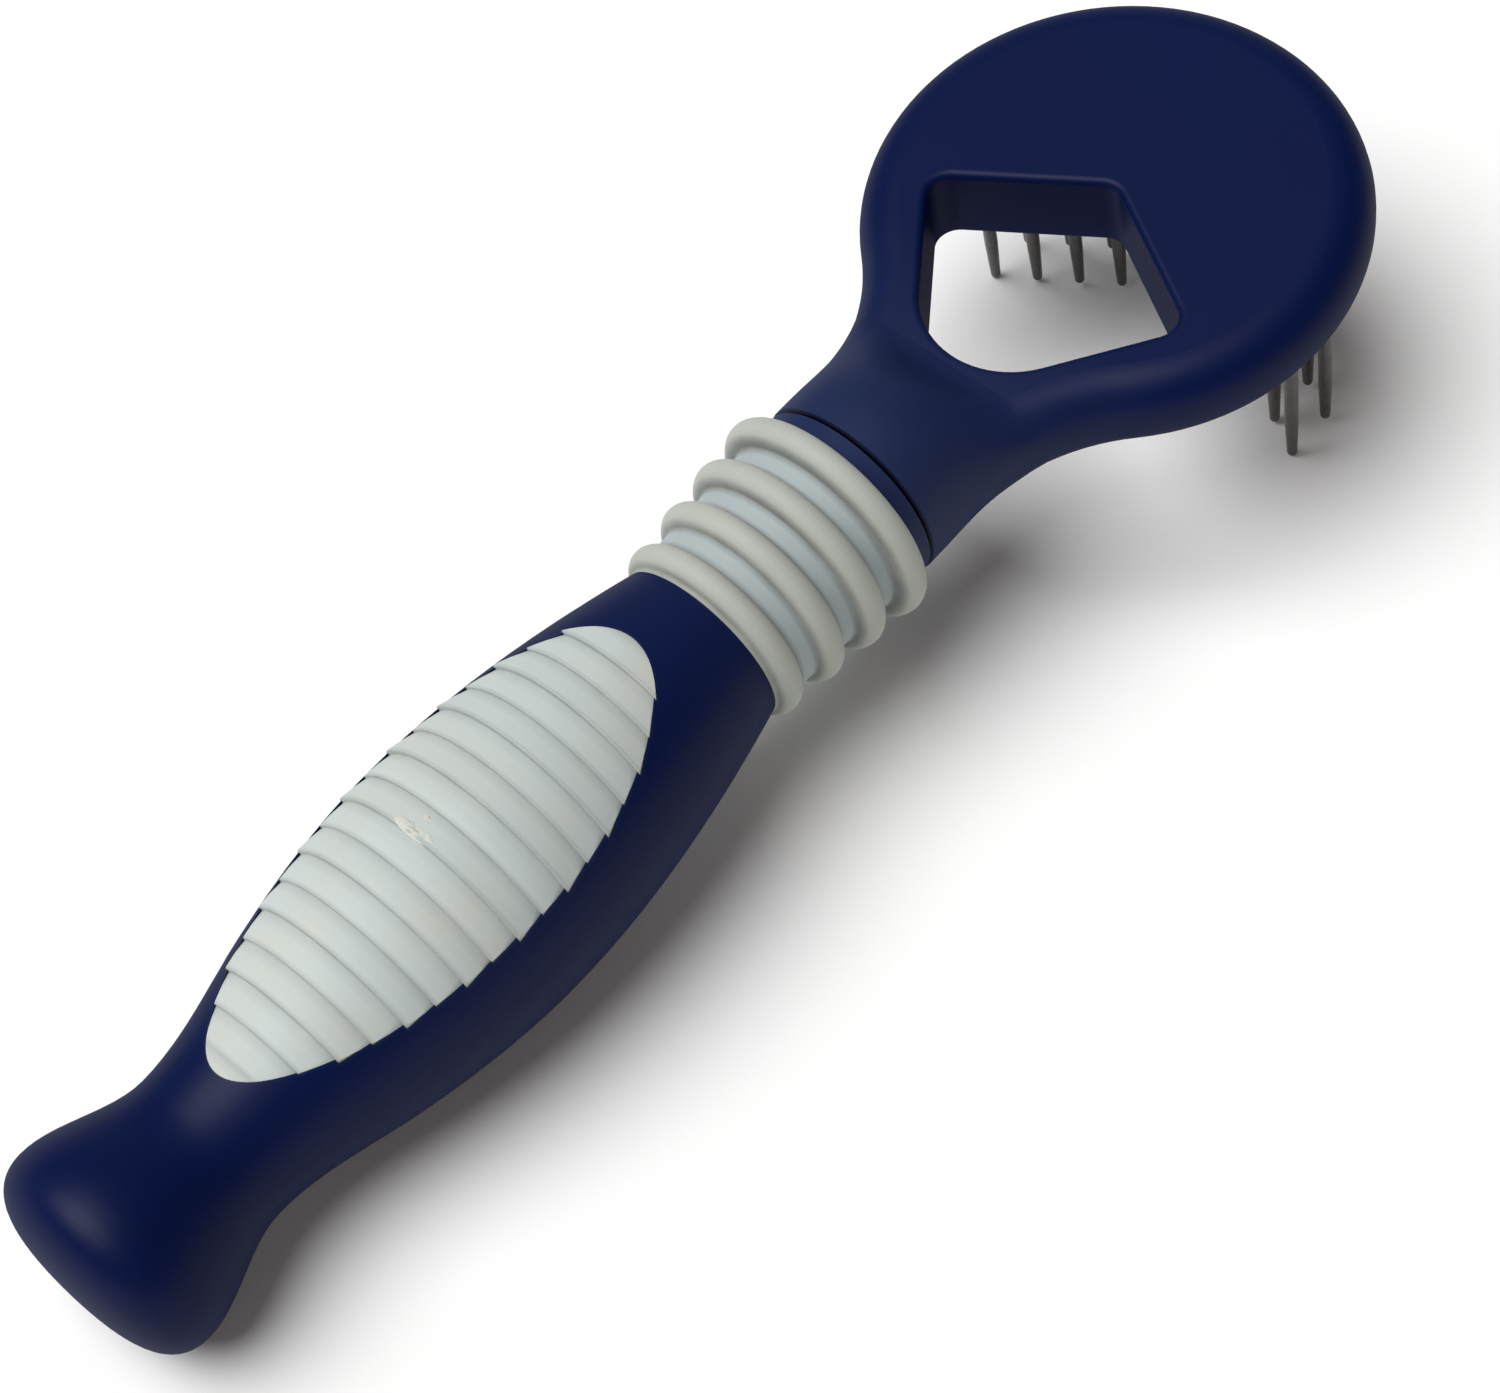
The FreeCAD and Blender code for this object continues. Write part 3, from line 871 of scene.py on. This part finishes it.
@dataclass
class RingSleeve:
    """Soft sleeve with four rings that grow towards the head, in mm in the handle frame.

    Attributes:
        head_x, butt_x: ends of the sleeve at the collar and at the grip.
        head_radius, butt_radius: radius of its cone at each end.
        wall: thickness of the cone.
        ring_count, ring_pitch: number of rings and distance between them.
        ring_tube: radius of a ring's round section.
        crest_at_head, crest_at_grip: radius over the largest and over the smallest ring.
        root_fillet: radius of the hollow at a ring's root.
        lip_round: rounding of the sleeve's thin end.
        steps: copies of the profile round the axis.
        tube_pieces, fillet_pieces: straight pieces in a ring's section and in a fillet.
        smooth_angle: edges sharper than this stay crisp.
    """

    head_x: float = -2.70
    butt_x: float = -25.21
    head_radius: float = 12.0
    butt_radius: float = 10.8
    wall: float = 1.0
    ring_count: int = 4
    ring_pitch: float = 6.17
    ring_tube: float = 1.75
    crest_at_head: float = 14.4
    crest_at_grip: float = 12.3
    root_fillet: float = 0.32
    lip_round: float = 0.12
    steps: int = 144
    tube_pieces: int = 22
    fillet_pieces: int = 6
    smooth_angle: float = math.radians(50)

    def cone(self, x: float) -> float:
        """Radius of the cone between the rings at x."""
        share = (x - self.butt_x) / (self.head_x - self.butt_x)
        return self.butt_radius + (self.head_radius - self.butt_radius) * share

    def ring_x(self, number: int) -> float:
        """Middle of a ring, counted from 0 next to the head."""
        return self.head_x - self.ring_tube - self.ring_pitch * number

    def ring(self, number: int) -> list[Point]:
        """Outline of one ring with the fillets at its roots, from its grip side to its head side.

        Args:
            number: 0 for the ring next to the head.

        Returns:
            Profile points (x, radius).
        """
        share = number / (self.ring_count - 1)
        crest = self.crest_at_head + (self.crest_at_grip - self.crest_at_head) * share
        x = self.ring_x(number)
        middle = crest - self.ring_tube
        fillet = self.root_fillet
        sides = []
        for side in (-1, 1):
            level = self.cone(x + side * self.ring_tube) + fillet
            rise = level - middle
            out = math.sqrt((self.ring_tube + fillet) ** 2 - rise ** 2)
            angle = math.degrees(math.atan2(rise, side * out))
            sides.append((x + side * out, level, angle))
        (grip_x, grip_level, grip_angle), (head_x, head_level, head_angle) = sides
        first = grip_angle if grip_angle > 0 else grip_angle + 360
        points = arc((grip_x, grip_level), fillet, -90, first - 180, self.fillet_pieces)
        points += arc((x, middle), self.ring_tube, first, head_angle, self.tube_pieces)[1:]
        if number > 0:
            points += arc((head_x, head_level), fillet, head_angle + 180, 270,
                          self.fillet_pieces)[1:]
        return points

    def profile(self) -> list[Point]:
        """Outlines the sleeve's wall, from its thin end to the head and back inside.

        Returns:
            Closed profile (x, radius).
        """
        lip_x = self.butt_x + self.lip_round
        points = [(self.butt_x, self.butt_radius - self.lip_round), (lip_x, self.cone(lip_x))]
        for number in reversed(range(self.ring_count)):
            points += self.ring(number)
        points += [(self.head_x, self.head_radius), (self.head_x, self.head_radius - self.wall),
                   (self.butt_x, self.butt_radius - self.wall)]
        return points + points[:1]

    def build(self) -> Piece:
        """Models the sleeve and puts it in place of its solid.

        Returns:
            The finished sleeve.
        """
        bench = Bench("ringed_sleeve", in_profile(self.profile()))
        bench.join().spin(ALONG, self.steps).clean()
        sleeve = bench.set_down(HANDLE, self.smooth_angle)
        dress(sleeve, Slot.RINGS)
        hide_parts("ring_sleeve")
        return sleeve


@dataclass
class PalmPad:
    """Leaf-shaped pad of overlapping shingles, in mm in the handle frame.

    Attributes:
        grip: outline that it follows.
        head_length, butt_length: length of the leaf from the belly to its tip at each end.
        half_width: half width at the belly.
        head_fullness, butt_fullness: power of the outline on each side of the belly.
        depth: depth of the pad in the grip.
        first_step: distance from the butt tip to the first shingle edge.
        step_count, pitch: number of edges and distance between them.
        rise, tooth: height and sideways step of the small and of the large edges.
        sink: how far a shingle's low end lies below the grip's skin.
        crown: how far a shingle bulges between its edges.
        lip: rounding of a shingle's proud edge.
        lip_corner: share of it left at the middle of the rounding.
        overrun: how far the blank runs past the leaf's tips.
        swing: half angle of the blank about the axis, in degrees.
        steps: copies of the profile in the blank.
        tip_pieces: pieces in each round tip of the leaf.
        knife_height: height of the solid that cuts the leaf out of the blank.
        smooth_angle: edges sharper than this stay crisp.
    """

    grip: GripShape = GripShape()
    head_length: float = 27.7
    butt_length: float = 35.0
    half_width: float = 13.2
    head_fullness: float = 0.5
    butt_fullness: float = 0.6
    depth: float = 1.2
    first_step: float = 5.3
    step_count: int = 16
    pitch: float = 3.576
    rise: tuple[float, float] = (0.36, 0.60)
    tooth: tuple[float, float] = (0.13, 0.33)
    sink: float = 0.32
    crown: float = 0.06
    lip: float = 0.16
    lip_corner: float = 0.3
    overrun: float = 1.0
    swing: float = 64.0
    steps: int = 128
    tip_pieces: int = 20
    knife_height: float = 30.0
    smooth_angle: float = math.radians(28)

    def half_width_at(self, x: float) -> float:
        """Half width of the leaf, widest at the belly.

        Args:
            x: place along the axis.

        Returns:
            Its half width there.
        """
        on_head_side = x > self.grip.belly_x
        length = self.head_length if on_head_side else self.butt_length
        fullness = self.head_fullness if on_head_side else self.butt_fullness
        share = (x - self.grip.belly_x) / length
        return self.half_width * (1 - share * share) ** fullness

    def first_edge_x(self) -> float:
        """Place of the shingle edge next to the butt."""
        return self.grip.belly_x - self.butt_length + self.first_step

    def edges(self) -> list[tuple[float, float, float]]:
        """Each shingle edge as (x, rise, tooth), from the butt to the head."""
        return [(self.first_edge_x() + self.pitch * i, self.rise[i % 2], self.tooth[i % 2])
                for i in range(self.step_count)]

    def tip(self, tip_x: float, start: Vector, finish: Vector) -> list[Vector]:
        """Parabola round one end of the leaf.

        Args:
            tip_x: place of the tip.
            start: last point of one side.
            finish: first point of the other side.

        Returns:
            Its points after the start.
        """
        control = Vector((2 * tip_x - start.x, 0, 0))
        points = []
        for i in range(1, self.tip_pieces + 1):
            t = i / self.tip_pieces
            points.append(start * (1 - t) ** 2 + control * 2 * t * (1 - t) + finish * t * t)
        return points

    def leaf(self) -> list[Vector]:
        """Plan outline of the pad, its sides stepped at each shingle.

        Returns:
            Its closed outline.
        """
        side = []
        for x, _, tooth in self.edges():
            width = self.half_width_at(x)
            side += [Vector((x, width, 0)), Vector((x, width + tooth, 0))]
        other = [Vector((p.x, -p.y, 0)) for p in reversed(side)]
        head_tip = self.tip(self.grip.belly_x + self.head_length, side[-1], other[0])
        butt_tip = self.tip(self.grip.belly_x - self.butt_length, other[-1], side[0])
        return side + head_tip + other[1:] + butt_tip

    def low_radius(self, x: float) -> float:
        """Radius at the low end of a shingle at x."""
        return self.grip.radius(x) - self.sink

    def skin(self) -> list[Point]:
        """Saw-tooth line of the shingles over the top of the grip.

        Returns:
            Profile points (x, radius), from the butt to the head.
        """
        start = self.grip.belly_x - self.butt_length
        blank_start = start - self.overrun
        blank_end = self.grip.belly_x + self.head_length + self.overrun
        line = [(blank_start, self.low_radius(blank_start) + self.rise[0])]
        before = (start, self.low_radius(start) + self.rise[0])
        corner = self.lip * self.lip_corner
        for x, rise, _ in self.edges() + [(blank_end, 0, 0)]:
            low = self.low_radius(x)
            middle = ((before[0] + x) / 2, (before[1] + low) / 2 + self.crown)
            line += [before, middle, (x, low)]
            before = (x + self.lip, low + rise)
            if rise:
                line += [(x, low + rise - self.lip), (x + corner, low + rise - corner)]
        return line

    def swung(self, points: list[Point], angle: float) -> list[Vector]:
        """Profile points turned about the axis by an angle in degrees, towards +Y."""
        turn = math.radians(angle)
        return [Vector((x, r * math.sin(turn), r * math.cos(turn))) for x, r in points]

    def build(self) -> Piece:
        """Models the pad and puts it in place of its solid.

        Returns:
            The finished pad.
        """
        skin = self.skin()
        floor = [(x, self.grip.radius(x) - self.depth) for x, _ in reversed(skin)]
        bench = Bench("shingled_palm_pad", self.swung(skin + floor + skin[:1], -self.swing))
        bench.fill().spin(ALONG, self.steps, math.radians(2 * self.swing)).clean()
        pad = bench.set_down(HANDLE)
        leaf = self.leaf()
        knife = Bench("leaf_knife", leaf[-1:] + leaf)
        knife.fill().extrude(UP * self.knife_height).clean()
        keep_inside(pad, knife.set_down(HANDLE))
        pick(pad)
        bpy.ops.object.shade_smooth_by_angle(angle=self.smooth_angle)
        dress(pad, Slot.PAD)
        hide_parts("palm_pad")
        return pad


@dataclass
class GateMark:
    """Torn stub on the pad where its rubber was fed in, in mm in the handle frame.

    Attributes:
        name: name of the stub.
        place: its middle, a little under the rubber's skin.
        reach: half its width along the handle.
        stretch: how many times longer it is across the handle.
        height: height of its mound.
        root: depth that it goes into the pad.
        lumps, lump_size: height and width of its lumps.
        grit, grit_seed: scatter of its torn surface and the draw that it takes.
        rings: rings of faces in the mound.
        steps: copies of the profile round it.
        smooth_angle: edges sharper than this stay crisp.
    """

    name: str
    place: tuple[float, float, float]
    reach: float
    stretch: float
    height: float
    root: float = 0.45
    lumps: float = 0.34
    lump_size: float = 0.9
    grit: float = 0.035
    grit_seed: int = 5
    rings: int = 14
    steps: int = 56
    smooth_angle: float = math.radians(60)

    def build(self) -> Piece:
        """Models the stub on the pad.

        Returns:
            The finished stub.
        """
        mound = [(self.reach * i / self.rings, self.height * (1 - (i / self.rings) ** 2))
                 for i in range(self.rings + 1)]
        base = [(self.reach, -self.root), (0, -self.root)]
        bench = Bench(self.name, in_profile(mound + base)).spin(UP, self.steps).clean()
        bpy.ops.transform.resize(value=(1, self.stretch, 1), center_override=ORIGIN)
        bpy.ops.transform.vertex_random(offset=self.grit * MM, seed=self.grit_seed)
        place = HANDLE @ Matrix.Translation(Vector(self.place) * MM)
        stub = bench.set_down(place, self.smooth_angle)
        clouds = bpy.data.textures.new("lumps", "CLOUDS")
        clouds.noise_scale = self.lump_size * MM
        lumps = stub.modifiers.new("lumps", "DISPLACE")
        lumps.texture = clouds
        lumps.strength = self.lumps * MM
        pick(stub)
        bpy.ops.object.modifier_apply(modifier=lumps.name)
        bpy.data.textures.remove(clouds)
        dress(stub, Slot.PAD, TORN_RUBBER)
        return stub


# ---------------------------------------------------------------- head
class Row(Enum):
    """Rows of pins, by the names that their solids have."""

    INNER = "inner"
    OUTER = "outer"


@dataclass
class PinRows:
    """Two chevron rows of steel pins, in mm in the head frame.

    Attributes:
        each_side: pins on each side of the middle one.
        pitch_y: sideways distance between pins.
        step_x: how far each pin stands behind its neighbour.
        inner_apex, outer_apex: place of each row's middle pin.
        root_radius, neck_radius: radius at the plate and where the taper of the end begins.
        tip_radius: radius of the round tip.
        taper: length of the tapered end.
        tip_z, plate_z: level of the tips and of the plate's underside.
        hidden: length of the shank inside the plate.
        steps: copies of the profile round the axis.
        tip_pieces: straight pieces in the profile of the tip.
    """

    each_side: int = 5
    pitch_y: float = 4.7
    step_x: float = 2.7394
    inner_apex: float = 15.9
    outer_apex: float = 22.6
    root_radius: float = 0.88
    neck_radius: float = 0.85
    tip_radius: float = 0.63
    taper: float = 7.0
    tip_z: float = -37.6
    plate_z: float = -11.8
    hidden: float = 3.4
    steps: int = 32
    tip_pieces: int = 8

    def profile(self) -> list[Vector]:
        """Outlines one pin from its tip to its flat top.

        Returns:
            Profile points in the XZ plane.
        """
        centre = (0, self.tip_z + self.tip_radius)
        tip = arc(centre, self.tip_radius, -90, 0, self.tip_pieces)
        top = self.plate_z + self.hidden
        shank = [(self.neck_radius, self.tip_z + self.taper), (self.root_radius, self.plate_z),
                 (self.root_radius, top), (0, top)]
        return in_profile(tip + shank)

    def build(self) -> list[Piece]:
        """Models one pin, copies it to every place and swaps out the solids.

        Returns:
            The finished pins.
        """
        bench = Bench("pin_pattern", self.profile()).spin(UP, self.steps).clean()
        pattern = bench.set_down(Matrix.Identity(4))
        pins = []
        for row, apex in ((Row.INNER, self.inner_apex), (Row.OUTER, self.outer_apex)):
            for number in range(2 * self.each_side + 1):
                step = self.each_side - number
                spot = Vector((apex - self.step_x * abs(step), self.pitch_y * step, 0)) * MM
                pick(pattern)
                bpy.ops.object.duplicate(linked=False)
                pin = bpy.context.object
                pin.name = f"steel_{row.value}_{number + 1:02d}"
                pin.data.name = pin.name
                pin.matrix_world = HEAD @ Matrix.Translation(spot)
                bpy.ops.object.transform_apply(location=True, rotation=True, scale=True)
                dress(pin, Slot.STEEL)
                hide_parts(f"{row.value}_pin_{number + 1:02d}")
                pins.append(pin)
        pick(pattern)
        bpy.ops.object.delete()
        return pins


# ---------------------------------------------------------------- finish of each slot
SLEEVE = RingSleeve()
PAD = PalmPad()
FINISHES = {
    Slot.NAVY: SatinPlastic(
        "navy_satin_plastic", deep=(0.0004, 0.0044, 0.042), clear=(0.0008, 0.0064, 0.053),
        worn_and_highlight=(0.018, 0.032, 0.100), neck_light=(0.016, 0.026, 0.078), groove_shade=(0.0006, 0.0010, 0.006)),
    Slot.RINGS: RingRubber(
        "ring_soft_rubber", pale=(0.435, 0.455, 0.405), cool=(0.41, 0.43, 0.40),
        dusty=(0.22, 0.23, 0.22), relief_shade=(0.14, 0.145, 0.13),
        first_x=SLEEVE.ring_x(0) * MM, pitch=SLEEVE.ring_pitch * MM, rings=SLEEVE.ring_count),
    Slot.PAD: ShingleRubber(
        "pad_soft_rubber", pale=(0.54, 0.595, 0.575), cool=(0.515, 0.575, 0.565),
        dusty=(0.32, 0.35, 0.33), relief_shade=(0.22, 0.235, 0.235),
        first_x=PAD.first_edge_x() * MM, pitch=PAD.pitch * MM),
    Slot.STEEL: DrawnSteel(
        "pin_drawn_steel", bright=(0.165, 0.160, 0.152), dull=(0.072, 0.070, 0.066)),
}
TORN_RUBBER = SoftRubber(
    "torn_rubber", pale=(0.64, 0.63, 0.55), cool=(0.57, 0.61, 0.56),
    dusty=(0.36, 0.34, 0.30), relief_shade=(0.24, 0.21, 0.17))


# ---------------------------------------------------------------- stage
class Lamp(Enum):
    """Kinds of light."""

    SUN = "SUN"
    SOFTBOX = "AREA"


@dataclass
class Studio:
    """Floor, lights and camera.

    Attributes:
        floor_side, floor_cells: side of the square floor in metres and cells along it.
        key_spread: angular size of the main light in degrees, which softens the shadows.
        softbox_side, softbox_tint: side in metres and colour of the light behind the comb.
        surround, surround_strength: colour and strength of the even light from all round.
        aim: point that the camera looks at, in metres.
        distance: distance of the camera from it, in metres.
        azimuth, elevation: direction of the camera from the comb, in degrees.
        roll: turn of the camera about its own line of sight, in degrees.
        lens, sensor: focal length and width of its sensor, in mm.
        near: distance of the nearest thing that it sees, in metres.
    """

    floor_side: float = 6.0
    floor_cells: int = 24
    key_spread: float = 50.0
    softbox_side: float = 0.5
    softbox_tint: Tone = (0.75, 0.88, 1.0)
    surround: Tone = (1.0, 0.94, 0.88)
    surround_strength: float = 0.112
    aim: tuple[float, float, float] = (-0.003535, -0.00729, 0.02)
    distance: float = 0.350173
    azimuth: float = -42.6478
    elevation: float = 54.3793
    roll: float = 6.2837
    lens: float = 76.502
    sensor: float = 36.0
    near: float = 0.01

    def floor(self) -> None:
        """Lays the pale floor."""
        clear_selection()
        bpy.ops.mesh.primitive_grid_add(x_subdivisions=self.floor_cells,
                                        y_subdivisions=self.floor_cells,
                                        size=self.floor_side, location=ORIGIN)
        floor = bpy.context.object
        floor.name = "floor"
        finish = PaleFloor("pale_floor", white=(0.93, 0.93, 0.93), shade=(0.915, 0.915, 0.915))
        floor.data.materials.append(finish.build())

    def light(self, kind: Lamp, name: str, direction: tuple[float, float], reach: float,
              energy: float) -> bpy.types.Light:
        """Hangs a light that faces the comb.

        Args:
            kind: what sort of light.
            name: name of the light.
            direction: azimuth and elevation it comes from, in degrees.
            reach: its distance in metres.
            energy: strength of a sun, or power of a softbox in watts.

        Returns:
            The light's own settings.
        """
        back = bearing(*direction)
        clear_selection()
        bpy.ops.object.light_add(type=kind.value, location=back * reach)
        light = bpy.context.object
        light.name = name
        light.rotation_euler = back.to_track_quat("Z", "Y").to_euler()
        light.data.energy = energy
        return light.data

    def lights(self) -> None:
        """Sets the soft studio light and the even surround."""
        sun = self.light(Lamp.SUN, "key_sun", direction=(-119, 65), reach=1, energy=3.35)
        sun.angle = math.radians(self.key_spread)
        softbox = self.light(Lamp.SOFTBOX, "back_softbox", direction=(130, 18), reach=0.7,
                             energy=0.36)
        softbox.shape = "SQUARE"
        softbox.size = self.softbox_side
        softbox.color = self.softbox_tint
        world = bpy.data.worlds.new("surround")
        world.use_nodes = True
        background = world.node_tree.nodes["Background"]
        background.inputs["Color"].default_value = (*self.surround, 1)
        background.inputs["Strength"].default_value = self.surround_strength
        bpy.context.scene.world = world
        bpy.context.scene.view_settings.view_transform = "Standard"

    def camera(self) -> None:
        """Sets up the camera at its viewing angle."""
        back = bearing(self.azimuth, self.elevation)
        clear_selection()
        bpy.ops.object.camera_add(location=Vector(self.aim) + back * self.distance)
        camera = bpy.context.object
        camera.name = "studio_camera"
        turn = (-back).to_track_quat("-Z", "Y").to_matrix()
        turn = turn @ Matrix.Rotation(math.radians(-self.roll), 3, "Z")
        camera.rotation_euler = turn.to_euler()
        camera.data.sensor_width = self.sensor
        camera.data.lens = self.lens
        camera.data.clip_start = self.near
        bpy.context.scene.camera = camera

    def build(self) -> None:
        """Sets the whole stage."""
        self.floor()
        self.lights()
        self.camera()
        log.info("stage: floor, lights and camera")


def main() -> None:
    """Dresses the comb piece by piece."""
    for node in ("head_shell", "pin_plate"):
        dress_node(node, Slot.NAVY)
    stub = GateMark("gate_stub", place=(-65.45, 0.35, 15.84), reach=0.85, stretch=3.2,
                    height=0.26)
    crumb = GateMark("gate_crumb", place=(-63.45, 0.15, 15.60), reach=0.60, stretch=1.4,
                     height=0.22)
    for part in (TurnedGrip(), SLEEVE, PAD, stub, crumb, PinRows()):
        part.build()
    Studio().build()


if __name__ == "__main__":
    main()
